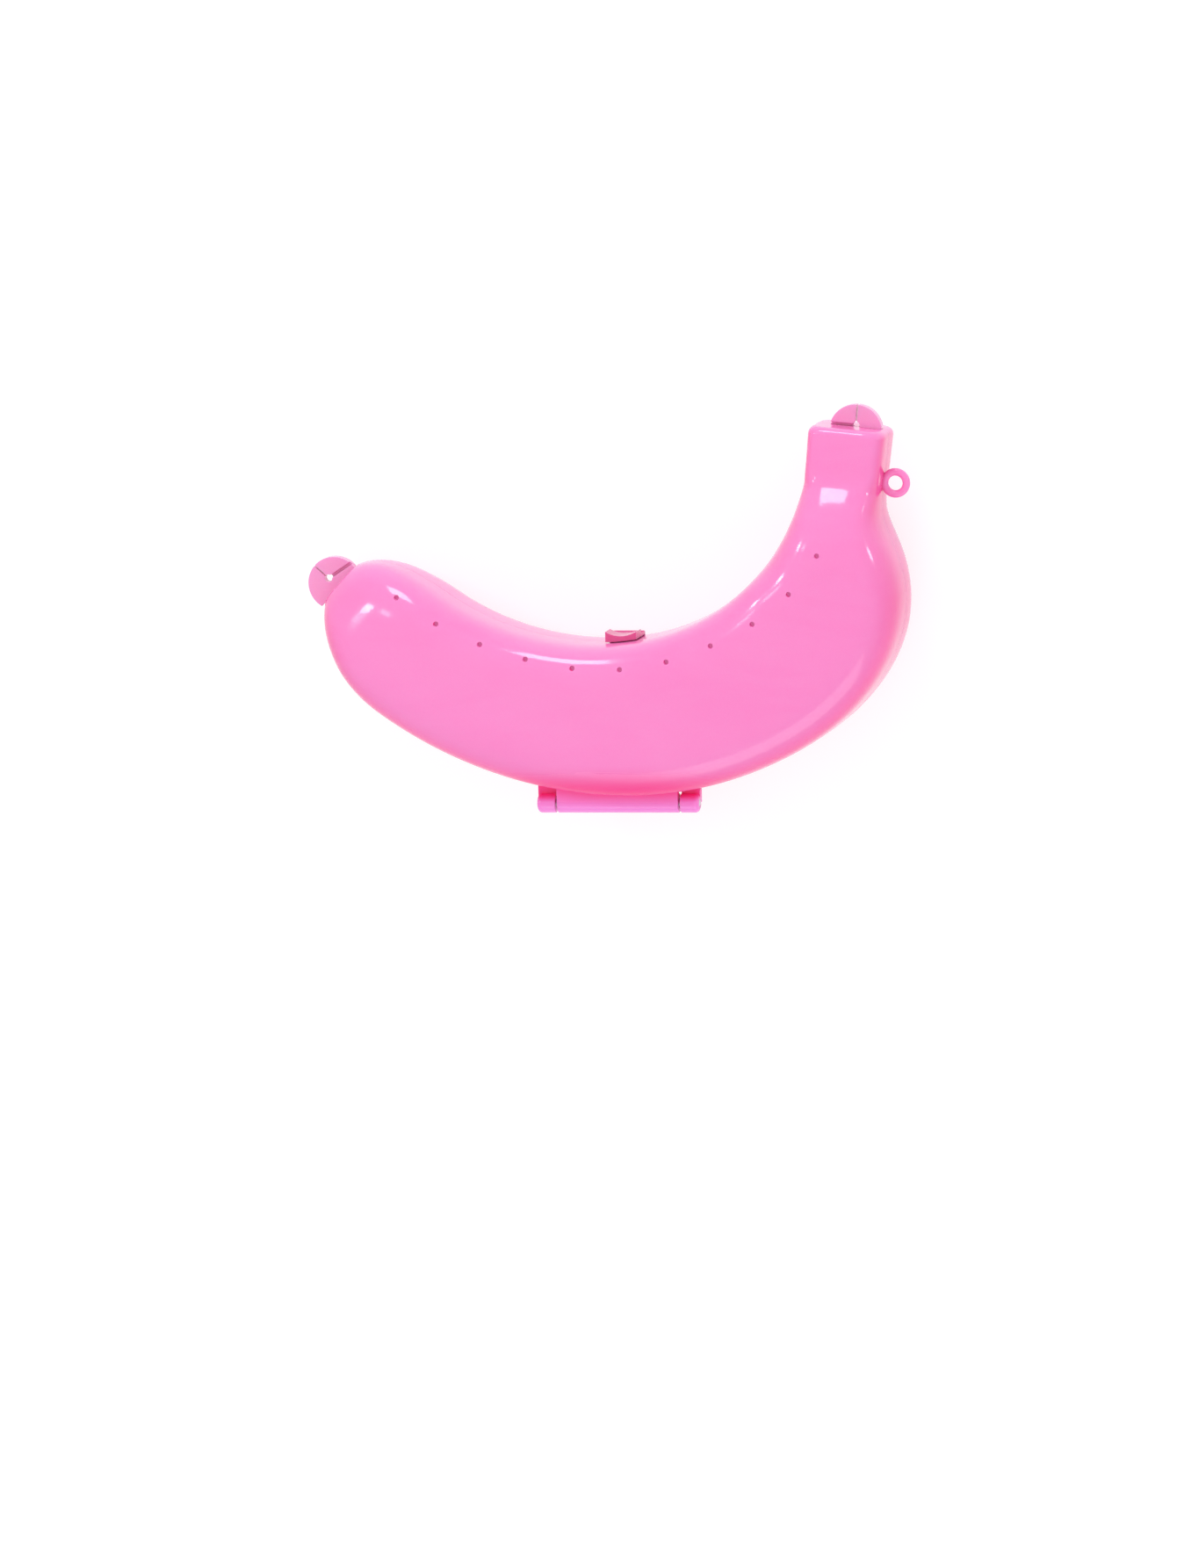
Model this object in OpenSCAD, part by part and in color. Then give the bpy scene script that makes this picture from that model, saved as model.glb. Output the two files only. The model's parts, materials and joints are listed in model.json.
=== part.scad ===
// Banana carrying case: two curved half shells on a pinned hinge, closed by a snap tongue.
// The case lies on its back shell, front shell up. X runs from tip to stem, Y from hinge to stem top.

/* [Centre line] */
// Bend radius of the centre line from the hinge towards the tip
tip_bend_r = 113; // [100:1:140]
// Angle of the bend towards the tip
tip_bend_a = 42; // [32:1:46]
// Straight length of the centre line at the tip
tip_len = 19.5; // [14:0.5:28]
// Bend radius of the centre line from the hinge towards the shoulder
belly_bend_r = 95; // [80:1:110]
// Angle of the bend towards the shoulder
belly_bend_a = 35; // [28:1:40]
// Bend radius of the centre line under the stem
neck_bend_r = 43; // [38:1:55]
// Angle of the bend under the stem
neck_bend_a = 49; // [42:1:54]
// Straight length of the centre line at the stem
stem_len = 44.5; // [38:0.5:52]
// Length over which the bend tightens under the shoulder and straightens under the stem
neck_soft = 32; // [20:1:40]

/* [Body] */
// Half width of the body where the tip begins to close
tip_half_w = 21.3; // [19:0.1:25]
// Half width of the body at the shoulder
shoulder_half_w = 26; // [23:0.1:29]
// How early the body reaches its full width, 0 for an even widening
belly_full = 1.1; // [0:0.1:1.5]
// Centre line position where the inner side leaves the belly in one arc up to the stem block
neck_from = 38; // [30:1:50]
// Centre line position where the outer side begins to narrow to the stem block
outer_from = 36; // [30:1:50]
// Centre line position where the outer side is as narrow as the stem block
outer_to = 115; // [110:1:120]
// How late the outer side narrows, 1 is even
outer_late = 3; // [2:0.1:4]
// Width of the stem block from the centre line to its inner side
stem_in_w = 12.6; // [11:0.1:14]
// Width of the stem block from the centre line to its outer side, at its root
stem_out_w = 11.7; // [10:0.1:13]
// How much wider the outer side of the stem block is at its end
stem_flare = 0.6; // [0:0.1:2]
// Depth of the front shell
front_depth = 22; // [18:0.5:26]
// Depth of the back shell
back_depth = 22; // [18:0.5:26]
// Depth of the stem block in each shell
stem_depth = 11.5; // [9:0.5:14]
// Thickness of the shell wall
wall = 1.8; // [1.4:0.1:2.4]
// Length over which the tip closes
tip_dome_len = 37; // [30:1:42]
// How far along that length the flat end of the tip lies
tip_blunt = 0.95; // [0.9:0.01:0.97]
// Fullness of the tip on the inner curve
tip_full_in = 2.5; // [2:0.1:3.2]
// Fullness of the tip on the outer curve
tip_full_out = 1.9; // [1.7:0.1:2.6]
// Fullness of the tip seen from the side
tip_full_side = 2.2; // [1.8:0.1:2.8]
// Length of the stem block
block_len = 16.5; // [13:0.5:20]
// Length of the slope from the stem block up to the full depth
ramp_len = 27; // [22:1:32]
// Roundness of that slope, 1 is straight
ramp_round = 2.2; // [1.6:0.1:3]
// Reach of the soft crease between the stem block and the slope
crease_soft = 3; // [1:0.5:4]
// Distance of the widest place of the body from the stem block
shoulder_len = 50; // [42:1:58]
// Edge radius at the end of the stem block
stem_edge_r = 2.4; // [1.6:0.1:3]
// Squareness of the body section, 2 is an ellipse
body_square = 4.3; // [3:0.1:5]
// Squareness of the section at the end of the tip
tip_square = 2.8; // [2.4:0.1:4]
// Squareness of the section on the slope under the stem block
ramp_square = 3.2; // [2.6:0.1:4.4]
// Squareness of the stem block section
stem_square = 5.5; // [4:0.5:7]

/* [Vents] */
// Number of vent holes
vent_n = 11; // [7:1:13]
// Diameter of a vent hole
vent_d = 1.5; // [1.2:0.1:2.6]
// Centre line position of the first vent, from the hinge towards the tip
vent_from = 84.5; // [78:0.5:90]
// Centre line position of the last vent, from the hinge towards the stem
vent_to = 100; // [97:0.5:106]
// Distance of the vent row from the centre line
vent_line = 17.5; // [13:0.5:18]
// Centre line position where the row begins to turn in, towards the stem
vent_stem_at = 21; // [10:1:40]
// Centre line position where the row begins to turn in, towards the tip
vent_tip_at = 19; // [10:1:60]
// Share of that distance lost at the stem
vent_turn = 0.78; // [0.5:0.02:0.9]
// Share of that distance lost at the tip
vent_tip_turn = 0.2; // [0:0.02:0.5]

/* [Hinge] */
// Distance of the hinge middle from the lowest point of the belly
hinge_x = -1.5; // [-4:0.5:4]
// Radius of the hinge knuckles
knuckle_r = 3.1; // [2.8:0.1:3.5]
// Gap between the shell rim and the front knuckle
knuckle_gap = 0.6; // [0.3:0.1:1]
// Length of the front knuckle
barrel_len = 39.4; // [30:0.2:44]
// Length of each back knuckle
ear_len = 6; // [5:0.2:8]
// Gap between two knuckles
knuckle_side_gap = 0.6; // [0.3:0.1:1]
// Rounding of the outer edge of the back knuckles
ear_edge_r = 1.5; // [0.8:0.1:1.6]
// Radius of the hinge pin
pin_r = 1.2; // [1:0.1:1.4]
// Radial clearance of the pin in the front knuckle
pin_run = 0.06; // [0.03:0.01:0.1]
// Radial clearance of the pin in the back knuckles
pin_hold = 0.02; // [0.01:0.01:0.04]
// Depth of the closed end of the tip side knuckle
ear_floor = 1.8; // [1.2:0.1:3]
// Clearance of a hinge web from the parting plane
web_gap = 0.3; // [0.2:0.1:0.6]

/* [Hanging tabs] */
// Radius of the hanging tabs
tab_r = 8.5; // [7:0.1:10]
// Thickness of the hanging tabs
tab_t = 3.2; // [2.4:0.2:4]
// Distance of the tip tab centre beyond the tip end
tip_tab_out = 1.7; // [0:0.1:3]
// Distance of the tip tab seam from the centre line, towards the outer curve
tip_tab_side = 0.5; // [0:0.1:2]
// Distance of the small tip hole beyond the tip end
tip_hole_out = 4.2; // [2:0.1:5]
// Tilt of the slot in the tip tab
tip_slot_a = 15; // [0:1:20]
// Distance of the stem tab centre inside the stem end
stem_tab_in = 1.4; // [0.5:0.1:3]
// Distance of the stem tab seam from the centre line, towards the outer curve
stem_tab_side = 1.6; // [0:0.1:2.5]
// Seam between the two halves of a tab
tab_seam = 0.5; // [0.3:0.1:1]
// Slot between a tab and the shell that it does not belong to
tab_slot = 1; // [0.5:0.1:1.5]
// Radius of the small hole at the root of a tab
tab_hole_r = 1.2; // [0.8:0.1:1.6]

/* [Lanyard loop] */
// Outer radius of the lanyard loop
loop_r = 4.7; // [4:0.1:5.5]
// Radius of the hole in the lanyard loop
loop_hole_r = 2.3; // [1.6:0.1:2.6]
// Thickness of the lanyard loop
loop_t = 2.4; // [2:0.2:4]
// How far the loop sinks into the wall of the stem block
loop_sink = 0.8; // [0.5:0.1:1.6]
// Distance of the loop centre from the stem end
loop_down = 16.5; // [12:0.5:20]

/* [Snap tongue] */
// Width of the snap tongue
tongue_w = 10; // [8:0.5:13]
// Thickness of the snap tongue
tongue_t = 1; // [0.9:0.1:1.6]
// Distance of the tongue middle from the lowest point of the belly
tongue_x = 2; // [-2:0.2:4]
// Space between the shell wall and the tongue
tongue_gap = 1; // [0.9:0.1:1.4]
// Height of the tongue above the parting plane
tongue_up = 5.8; // [5.4:0.1:7]
// Depth of the tongue pivot below the parting plane
tongue_down = 6; // [5.5:0.5:8]
// How far the thumb pad stands out from the tongue
pad_out = 1.5; // [1.1:0.1:1.9]
// Depth of the hollow in the thumb pad
pad_hollow = 1.4; // [0.5:0.1:1.8]
// How far the thumb pad reaches below the parting plane
pad_down = 1.5; // [0:0.1:3]
// Height of the snap bead above the parting plane
bead_up = 3; // [2.6:0.1:3.4]
// Radius of the snap bead
bead_r = 0.9; // [0.8:0.1:1]
// Clearance of the tongue hook
hook_gap = 0.35; // [0.25:0.05:0.5]
// Radius of the foot of the tongue
foot_r = 0.9; // [0.8:0.1:1.1]
// Clearance of the foot in its groove
foot_run = 0.08; // [0.05:0.01:0.1]
// Wall of the groove around the foot
root_wall = 0.7; // [0.6:0.1:1.2]
// How far the groove reaches out past the middle of the foot
root_out = 0.6; // [0.4:0.1:0.8]

/* [Locating lips] */
// Height of the lips below the parting plane
lip_h = 2.4; // [1.6:0.1:3]
// Thickness of the lips
lip_t = 1.3; // [1:0.1:1.6]
// Height of the lip root inside the front shell
lip_root = 2.2; // [1.6:0.1:2.6]
// Clearance of the lips inside the back shell
lip_gap = 0.3; // [0.25:0.05:0.5]

/* [Hidden] */
$fn = 48;
// Rings and points of the swept shells
tip_rings = 8;
ring_step = 5;
block_rings = 2;
edge_rings = 3;
section_n = 20;
// Steps in which the length of the vent row is measured
row_steps = 60;
// Seat of a lip on the front wall
lip_seat = 0.05;

function arc_len(r, a) = r * a * PI / 180;
function ease(u) = let (c = min(max(u, 0), 1)) c * c * (3 - 2 * c);

// Lengths along the centre line, from the hinge at zero
tip_arc = arc_len(tip_bend_r, tip_bend_a);
belly_arc = arc_len(belly_bend_r, belly_bend_a);
neck_arc = arc_len(neck_bend_r, neck_bend_a);
tip_end = -tip_arc - tip_len;
stem_end = belly_arc + neck_arc + stem_len;
tip_base = tip_end + tip_dome_len * tip_blunt;
ramp_foot = stem_end - block_len;
ramp_top = ramp_foot - ramp_len;
shoulder_at = ramp_foot - shoulder_len;
stem_a = belly_bend_a + neck_bend_a;

// Point of the centre line and its heading. Towards the stem the heading grows in soft steps of curvature
function eased_sum(u) = let (c = min(max(u, 0), 1)) c * c * c - c * c * c * c / 2 + max(u - 1, 0);
function stem_heading(d) =
    let (tighter = eased_sum((d - belly_arc) / neck_soft + 0.5))
    let (straighter = eased_sum((d - belly_arc - neck_arc) / neck_soft + 0.5))
    let (bend = (1 / neck_bend_r - 1 / belly_bend_r) * tighter - straighter / neck_bend_r)
    (d / belly_bend_r + neck_soft * bend) * 180 / PI;
function onward(p, a, d) = [p[0] + d * cos(a), p[1] + d * sin(a)];
stem_points = [for (k = 0, p = [0, 0]; k <= stem_end + 1;
    p = onward(p, stem_heading(k + 0.5), 1), k = k + 1) p];
function tip_side(d) =
    let (a = min(d, tip_arc) / tip_bend_r * 180 / PI, rest = max(d - tip_arc, 0))
    [-tip_bend_r * sin(a) - rest * cos(a), tip_bend_r * (1 - cos(a)) + rest * sin(a), -a];
function stem_side(d) =
    let (k = floor(d))
    let (p = onward(stem_points[k], stem_heading((k + d) / 2), d - k))
    [p[0], p[1], stem_heading(d)];
function centre(s) = s < 0 ? tip_side(-s) : stem_side(s);

// Half width of the body along the centre line, inside and outside the bend
function full_half(s) =
    let (q = min((s - tip_base) / (shoulder_at - tip_base), 1))
    tip_half_w + (shoulder_half_w - tip_half_w) * (q + belly_full * q * q * (1 - q));
function flare(s) = stem_flare * min(max((s - ramp_foot) / (block_len - stem_edge_r), 0), 1);
function outer_half(s) =
    let (u = pow(min(max((s - outer_from) / (outer_to - outer_from), 0), 1), outer_late))
    full_half(s) + (stem_out_w - full_half(s)) * ease(u) + flare(s);

// Arc of the inner side, tangent to the belly and to the side of the stem block
function rim_point(s) = let (p = centre(s)) onward(p, p[2] + 90, full_half(s));
neck_p = rim_point(neck_from);
neck_run = rim_point(neck_from + 0.5) - rim_point(neck_from - 0.5);
neck_lean = atan2(neck_run[1], neck_run[0]);
neck_room = (centre(stem_end)[0] - neck_p[0]) * sin(stem_a)
    + (neck_p[1] - centre(stem_end)[1]) * cos(stem_a) - stem_in_w;
neck_r = neck_room / (1 - cos(stem_a - neck_lean));
neck_mid = onward(neck_p, neck_lean + 90, neck_r);
neck_to = stem_end + (neck_mid[0] - centre(stem_end)[0]) * cos(stem_a)
    + (neck_mid[1] - centre(stem_end)[1]) * sin(stem_a);
function neck_half(p) =
    let (ahead = (neck_mid[0] - p[0]) * cos(p[2]) + (neck_mid[1] - p[1]) * sin(p[2]))
    let (aside = (neck_mid[1] - p[1]) * cos(p[2]) - (neck_mid[0] - p[0]) * sin(p[2]))
    aside - sqrt(neck_r * neck_r - ahead * ahead);
function inner_half(s) =
    s < neck_from ? full_half(s) : s > neck_to ? stem_in_w : neck_half(centre(s));
function side_half(s, edge) = edge > 0 ? inner_half(s) : outer_half(s);

// Depth and squareness
function ramp_share(s) = 1 - pow(1 - min(max((ramp_foot - s) / ramp_len, 0), 1), ramp_round);
function soft_share(s) =
    let (h = crease_soft / 2)
    let (near = ramp_share(s - h) + ramp_share(s) + ramp_share(s + h))
    (ramp_share(s - crease_soft) + 2 * near + ramp_share(s + crease_soft)) / 8;
function body_depth(s, depth) = stem_depth + (depth - stem_depth) * soft_share(s);
function slope_power(s) =
    body_square + (ramp_square - body_square) * ease((s - shoulder_at) / (ramp_top - shoulder_at));
function body_power(s) =
    slope_power(s) + (stem_square - slope_power(s)) * ease((s - ramp_foot + crease_soft) / (2 * crease_soft));

// Rings of a shell surface: place, half width inside and outside the bend, depth, squareness
body_rings = round((ramp_foot - tip_base) / ring_step);
foot_ring = tip_rings + body_rings;
ring_n = foot_ring + block_rings + edge_rings + 1;
function close(x, full) = pow(1 - pow(x, full), 1 / full);
function tip_ring(i, depth, off) =
    let (x = sin(asin(tip_blunt) * (1 - i / tip_rings)))
    [tip_base - (tip_dome_len - off) * x,
     (tip_half_w - off) * close(x, tip_full_in),
     (tip_half_w - off) * close(x, tip_full_out),
     (depth - off) * close(x, tip_full_side),
     body_square + (tip_square - body_square) * pow(x / tip_blunt, 2)];
function body_ring(s, depth, off) =
    [s, inner_half(s) - off, outer_half(s) - off, body_depth(s, depth) - off, body_power(s)];
function edge_ring(i, off) =
    let (r = max(stem_edge_r - off, 0.4), a = 90 * i / edge_rings)
    let (lost = off + r * (1 - cos(a)))
    [stem_end - off - r * (1 - sin(a)), stem_in_w - lost, stem_out_w + stem_flare - lost,
     stem_depth - lost, stem_square];
function ring_s(i) =
    i <= tip_rings + body_rings ? tip_base + (ramp_foot - tip_base) * (i - tip_rings) / body_rings
    : ramp_foot + (block_len - wall - stem_edge_r) * (i - tip_rings - body_rings) / block_rings;
function ring(i, depth, off) =
    i < tip_rings ? tip_ring(i, depth, off)
    : i <= tip_rings + body_rings + block_rings ? body_ring(ring_s(i), depth, off)
    : edge_ring(i - tip_rings - body_rings - block_rings, off);
function ring_near(s) = tip_rings + floor((s - tip_base) / (ramp_foot - tip_base) * body_rings);

// Point of a ring, at a sideways and an upward distance from the centre line
function at_side(s, side, up) =
    let (p = centre(s)) [p[0] - sin(p[2]) * side, p[1] + cos(p[2]) * side, up];
function section_point(r, j) =
    let (c = cos(180 * j / section_n), q = sin(180 * j / section_n))
    let (k = pow(pow(abs(c), r[4]) + pow(abs(q), r[4]), -1 / r[4]))
    at_side(r[0], k * c * (c > 0 ? r[1] : r[2]), k * q * r[3]);
function flip(p, face) = [p[0], p[1], face * p[2]];
function turned(tri, face) = face > 0 ? [tri[2], tri[1], tri[0]] : tri;
function halves(a, b, c, d) = [[a, b, c], [a, c, d]];

// Hinge axis and the outer ends of the whole case
hinge_y = -outer_half(0) - knuckle_gap - knuckle_r;
hinge_half = barrel_len / 2 + knuckle_side_gap + ear_len;
tip_p = centre(tip_end);
stem_p = centre(stem_end);
tip_tab_p = at_side(tip_end - tip_tab_out, -tip_tab_side, 0);
stem_tab_p = at_side(stem_end - stem_tab_in, -stem_tab_side, 0);
loop_p = at_side(stem_end - loop_down, -(outer_half(stem_end - loop_down) + loop_r - loop_sink), 0);
low_x = tip_tab_p[0] - tab_r;
high_x = loop_p[0] + loop_r;
low_y = hinge_y - knuckle_r;
high_y = stem_tab_p[1] + tab_r;
mid = [(low_x + high_x) / 2, (low_y + high_y) / 2];

// Snap tongue, seen in the plane across the rim
rim_y = inner_half(0);
tongue_in = rim_y + tongue_gap;
pivot_y = tongue_in + tongue_t / 2;
hook_low = bead_up + bead_r + hook_gap;

pink = [0.98, 0.55, 0.8];
deep_pink = [0.95, 0.42, 0.68];
steel = [0.75, 0.76, 0.78];

// Puts the case on the floor with the middle of its box over the origin
module place() {
    translate([-mid[0], -mid[1], back_depth]) children();
}

// Part of a half shell between two rings: outer and inner surface, flat rim, one closed end at the tip or
// the stem and one open end against its neighbour. face 1 is the front, -1 the back
module shell(depth, face, from, to) {
    m = section_n + 1;
    n = to - from + 1;
    inner = n * m;
    last = (n - 1) * m;
    middle = 2 * inner;
    at_tip = from == 0;
    points = concat(
        [for (i = [from:to], j = [0:section_n]) flip(section_point(ring(i, depth, 0), j), face)],
        [for (i = [from:to], j = [0:section_n]) flip(section_point(ring(i, depth, wall), j), face)],
        at_tip ? [at_side(ring(0, depth, 0)[0], 0, 0), at_side(ring(0, depth, wall)[0], 0, 0)]
        : [at_side(stem_end, 0, 0), at_side(stem_end - wall, 0, 0)]);
    skin = [for (i = [0:n - 2], j = [0:section_n - 1])
        each halves(i * m + j, i * m + j + 1, (i + 1) * m + j + 1, (i + 1) * m + j)];
    hollow = [for (t = skin) [t[2] + inner, t[1] + inner, t[0] + inner]];
    rim = [for (i = [0:n - 2]) each concat(
        halves(i * m, (i + 1) * m, (i + 1) * m + inner, i * m + inner),
        halves(i * m + section_n, i * m + section_n + inner,
               (i + 1) * m + section_n + inner, (i + 1) * m + section_n))];
    closed = at_tip ? [for (j = [0:section_n - 1]) each [
            [middle, j + 1, j],
            [middle + 1, inner + j, inner + j + 1]]]
        : [for (j = [0:section_n - 1]) each [
            [middle, last + j, last + j + 1],
            [middle + 1, inner + last + j + 1, inner + last + j]]];
    closed_rim = at_tip ? concat(
            halves(middle, 0, inner, middle + 1),
            halves(middle, middle + 1, inner + section_n, section_n))
        : concat(
            halves(middle, middle + 1, last + inner, last),
            halves(middle, last + section_n, last + section_n + inner, middle + 1));
    open = [for (j = [0:section_n - 1]) each at_tip
        ? halves(last + inner + j, last + j, last + j + 1, last + inner + j + 1)
        : halves(inner + j + 1, j + 1, j, inner + j)];
    faces = concat(skin, hollow, rim, closed, closed_rim, open);
    polyhedron(points, [for (t = faces) turned(t, face)]);
}

// Solid stretch of a half shell between two rings, used to fit the moulded-on pieces to its wall
module stretch(depth, face, from, to, off = 0) {
    m = section_n + 1;
    n = to - from + 1;
    points = [for (i = [from:to], j = [0:section_n]) flip(section_point(ring(i, depth, off), j), face)];
    skin = [for (i = [0:n - 2], j = [0:section_n - 1])
        each halves(i * m + j, i * m + j + 1, (i + 1) * m + j + 1, (i + 1) * m + j)];
    base = [for (i = [0:n - 2])
        each halves(i * m, (i + 1) * m, (i + 1) * m + section_n, i * m + section_n)];
    ends = [for (j = [1:section_n - 1]) each [
        [0, j + 1, j], [(n - 1) * m, (n - 1) * m + j, (n - 1) * m + j + 1]]];
    polyhedron(points, [for (t = concat(skin, base, ends)) turned(t, face)]);
}

// The vents lie evenly along a row that turns in towards the centre line at its two ends
function vent_row(s) =
    let (u = min(max((s - vent_stem_at) / (vent_to - vent_stem_at), 0), 1))
    let (v = min(max((-s - vent_tip_at) / (vent_from - vent_tip_at), 0), 1))
    at_side(s, vent_line * (1 - vent_turn * u * u * u - vent_tip_turn * v * v), 0);
row_s = [for (k = [0:row_steps]) -vent_from + (vent_from + vent_to) * k / row_steps];
row_p = [for (s = row_s) vent_row(s)];
row_at = [for (k = 0, d = 0; k <= row_steps;
    d = d + norm(row_p[min(k + 1, row_steps)] - row_p[k]), k = k + 1) [d, row_s[k]]];

module vent(k) {
    p = vent_row(lookup(row_at[row_steps][0] * k / (vent_n - 1), row_at));
    translate([p[0], p[1], front_depth / 4]) cylinder(r = vent_d / 2, h = front_depth);
}

module front_shell() {
    color(pink) place() difference() {
        shell(front_depth, 1, 0, foot_ring);
        for (k = [0:vent_n - 1]) vent(k);
    }
}

module front_stem_block() {
    color(pink) place() shell(front_depth, 1, foot_ring, ring_n - 1);
}

module back_shell() {
    color(pink) place() shell(back_depth, -1, 0, foot_ring);
}

module back_stem_block() {
    color(pink) place() shell(back_depth, -1, foot_ring, ring_n - 1);
}

// Strip along the rim inside the front shell. edge 1 is the inner curve, -1 the outer curve
module lip(edge) {
    from = tip_rings;
    to = ring_near(ramp_top);
    n = to - from + 1;
    profile = [[lip_seat, lip_root], [lip_t, lip_root], [lip_t, -lip_h],
               [lip_gap, -lip_h], [lip_gap, 0], [lip_seat, 0]];
    points = [for (i = [from:to], q = profile)
        at_side(ring_s(i), edge * (side_half(ring_s(i), edge) - wall - q[0]), q[1])];
    sides = [for (i = [0:n - 2], j = [0:5])
        each halves(i * 6 + j, (i + 1) * 6 + j, (i + 1) * 6 + (j + 1) % 6, i * 6 + (j + 1) % 6)];
    last = (n - 1) * 6;
    ends = [[0, 1, 5], [1, 4, 5], [1, 2, 4], [2, 3, 4]];
    stops = [for (t = ends) [t[2] + last, t[1] + last, t[0] + last]];
    polyhedron(points, [for (t = concat(sides, ends, stops)) turned(t, -edge)]);
}

module lip_inner() {
    color(pink) place() lip(1);
}

module lip_outer() {
    color(pink) place() lip(-1);
}

// Flat web from a knuckle to the wall of its shell
module web(len, face) {
    low = face > 0 ? web_gap : -knuckle_r;
    translate([hinge_x - len / 2, hinge_y, low]) cube([len, outer_half(0) * 0.6, knuckle_r - web_gap]);
}

module hinge_barrel() {
    color(pink) place() difference() {
        union() {
            translate([hinge_x - barrel_len / 2, hinge_y, 0]) rotate([0, 90, 0])
                cylinder(r = knuckle_r, h = barrel_len);
            web(barrel_len, 1);
        }
        translate([hinge_x - barrel_len / 2 - 1, hinge_y, 0]) rotate([0, 90, 0])
            cylinder(r = pin_r + pin_run, h = barrel_len + 2);
        stretch(front_depth, 1, ring_near(-40), ring_near(40));
    }
}

// Back knuckle with a rounded outer edge, lying along X from its inner face outwards
module knuckle() {
    rotate([0, 90, 0]) rotate_extrude() {
        square([knuckle_r - ear_edge_r, ear_len]);
        square([knuckle_r, ear_len - ear_edge_r]);
        translate([knuckle_r - ear_edge_r, ear_len - ear_edge_r]) intersection() {
            circle(r = ear_edge_r);
            square(ear_edge_r + 1);
        }
    }
}

module ear(hand) {
    inner = barrel_len / 2 + knuckle_side_gap;
    difference() {
        union() {
            translate([hinge_x + hand * inner, hinge_y, 0]) mirror([hand > 0 ? 0 : 1, 0, 0]) knuckle();
            translate([hand * (inner + ear_len / 2), 0, 0]) web(ear_len, -1);
        }
        stretch(back_depth, -1, ring_near(-40), ring_near(40));
        children();
    }
}

// The pin stops at the closed end of the tip side knuckle
pin_from = hinge_x - hinge_half + ear_floor;

module hinge_ear_tip() {
    color(pink) place() ear(-1)
        translate([pin_from, hinge_y, 0]) rotate([0, 90, 0]) cylinder(r = pin_r + pin_hold, h = ear_len);
}

module hinge_ear_stem() {
    color(pink) place() ear(1)
        translate([hinge_x + barrel_len / 2, hinge_y, 0]) rotate([0, 90, 0])
            cylinder(r = pin_r + pin_hold, h = 2 * ear_len);
}

module hinge_pin() {
    color(steel) place() translate([pin_from, hinge_y, 0]) rotate([0, 90, 0])
        cylinder(r = pin_r, h = hinge_x + hinge_half - pin_from);
}

// Disc beyond an end wall at Y zero, with the small hole on its seam
module tab_disc(out, side, hole_out) {
    difference() {
        intersection() {
            translate([side, out, -tab_t / 2]) cylinder(r = tab_r, h = tab_t);
            translate([side - 2 * tab_r, 0, -tab_t]) cube([4 * tab_r, 3 * tab_r, 2 * tab_t]);
        }
        translate([side, hole_out, -tab_t]) cylinder(r = tab_hole_r, h = 2 * tab_t);
    }
}

// Ground beyond the slot line on the back half's side of the seam
module beyond_slot(x, y, tilt) {
    far = 4 * tab_r;
    linear_extrude(tab_t) polygon([[x, y], [x + far, y - far * tan(tilt)], [x + far, far], [x, far]]);
}

// Back half of a tab: it meets the back shell behind the parting plane
module back_half_tab(out, side, hole_out, tilt) {
    intersection() {
        tab_disc(out, side, hole_out);
        union() {
            translate([side + tab_seam / 2, 0, -tab_t]) cube([4 * tab_r, 4 * tab_r, tab_t]);
            beyond_slot(side + tab_seam / 2, hole_out + tab_slot / 2, tilt);
        }
    }
}

// Front half of a tab: it meets the front shell, and fills the ground under the slot
module front_half_tab(out, side, hole_out, tilt) {
    difference() {
        tab_disc(out, side, hole_out);
        translate([side - tab_seam / 2, -1, -tab_t]) cube([4 * tab_r, 4 * tab_r, tab_t]);
        translate([side - 4 * tab_r, -1, -tab_t]) cube([4 * tab_r, tab_slot + 1, tab_t]);
        beyond_slot(side - tab_seam / 2, hole_out - tab_slot / 2, tilt);
    }
}

module at_tip() {
    place() translate([tip_p[0], tip_p[1], 0]) rotate(90 - tip_bend_a) children();
}

module at_stem() {
    place() translate([stem_p[0], stem_p[1], 0]) rotate(stem_a - 90) children();
}

module front_tip_tab() {
    color(pink) at_tip() front_half_tab(tip_tab_out, -tip_tab_side, tip_hole_out, tip_slot_a);
}

module back_tip_tab() {
    color(pink) at_tip() back_half_tab(tip_tab_out, -tip_tab_side, tip_hole_out, tip_slot_a);
}

module front_stem_tab() {
    color(pink) at_stem() mirror([1, 0, 0])
        front_half_tab(-stem_tab_in, -stem_tab_side, tab_slot / 2, 0);
}

module back_stem_tab() {
    color(pink) at_stem() mirror([1, 0, 0])
        back_half_tab(-stem_tab_in, -stem_tab_side, tab_slot / 2, 0);
}

module lanyard_loop() {
    color(pink) place() difference() {
        translate(loop_p) cylinder(r = loop_r, h = loop_t);
        translate([loop_p[0], loop_p[1], -1]) cylinder(r = loop_hole_r, h = loop_t + 2);
        translate([0, 0, -0.5]) stretch(front_depth, 1, ring_near(ramp_top), tip_rings + body_rings + block_rings);
    }
}

module catch_bead() {
    color(pink) place() difference() {
        translate([tongue_x - tongue_w * 0.4, rim_y - 0.1, bead_up]) rotate([0, 90, 0])
            cylinder(r = bead_r, h = tongue_w * 0.8);
        stretch(front_depth, 1, ring_near(-20), ring_near(20));
    }
}

module latch_root() {
    deep = foot_r + root_wall;
    color(pink) place() difference() {
        translate([tongue_x - tongue_w / 2, rim_y - 4, -tongue_down - deep])
            cube([tongue_w, 4 + tongue_gap + tongue_t / 2 + root_out, deep]);
        translate([tongue_x - tongue_w, pivot_y, -tongue_down]) rotate([0, 90, 0])
            cylinder(r = foot_r + foot_run, h = 2 * tongue_w);
        stretch(back_depth, -1, ring_near(-20), ring_near(25));
    }
}

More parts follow.
